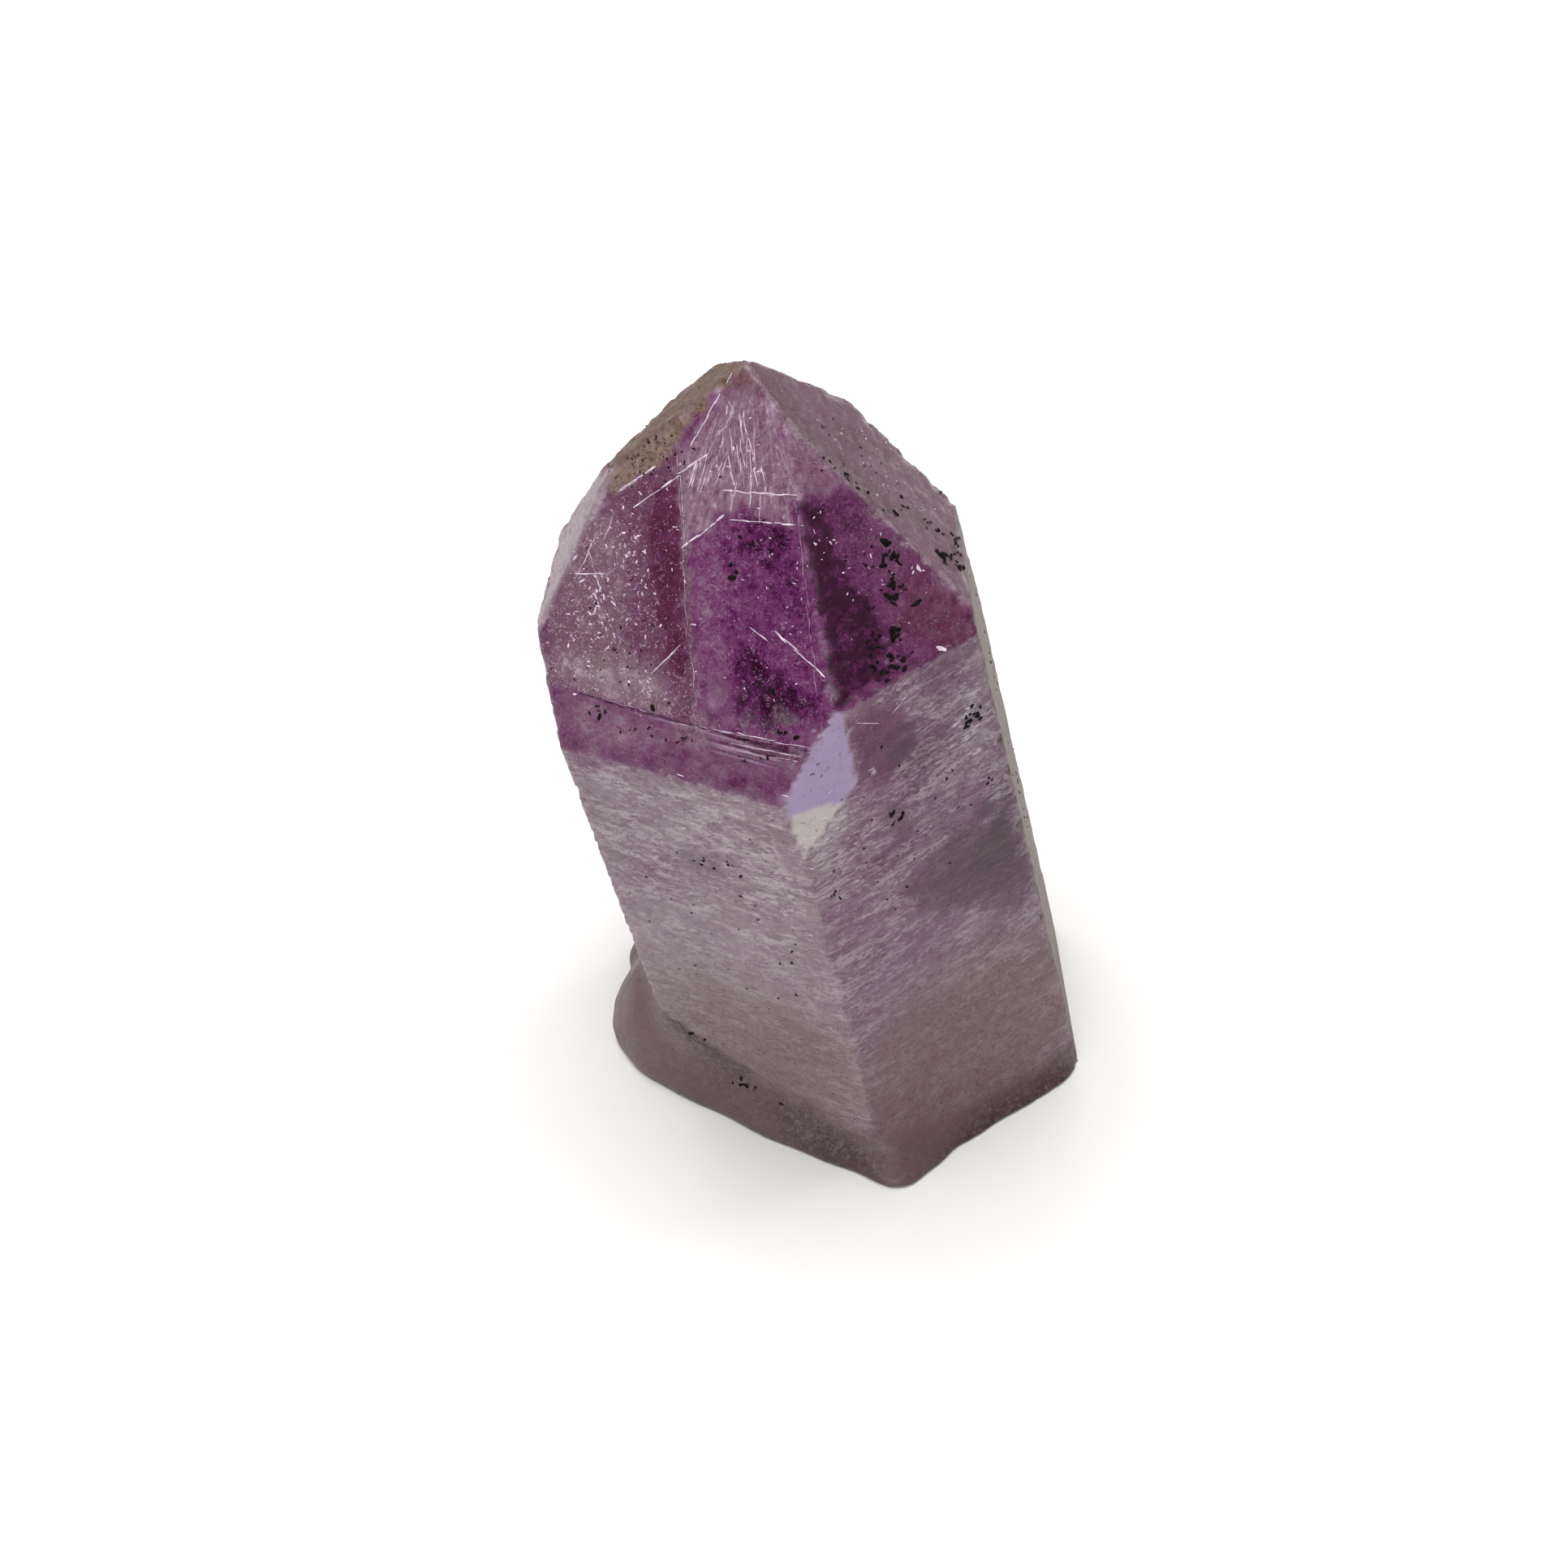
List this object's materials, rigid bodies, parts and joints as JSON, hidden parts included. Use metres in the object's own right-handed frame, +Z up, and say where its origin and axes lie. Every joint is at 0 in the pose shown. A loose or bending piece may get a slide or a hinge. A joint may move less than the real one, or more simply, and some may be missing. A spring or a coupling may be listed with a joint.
{
  "type": "smoky amethyst point",
  "caption": "Natural hexagonal quartz crystal with a stepped pyramid tip, standing at a slight lean on its rounded broken foot, for display.",
  "frame": {"origin": "middle of the bounding box, on the surface that the crystal stands on", "axes": "+Z up, and the crystal's long axis leans about 10 degrees from it towards -X; -Y is the side of the sharp front edge; +X is to the right seen from there"},
  "size_m": [0.0288, 0.0262, 0.045],
  "materials": {
    "quartz": "smoky mauve quartz, milky along the sides and deep purple under the tip faces, glossy with worn frosted edges and small black specks"
  },
  "bodies": {
    "root": {"crystal": "quartz"}
  },
  "joints": []
}
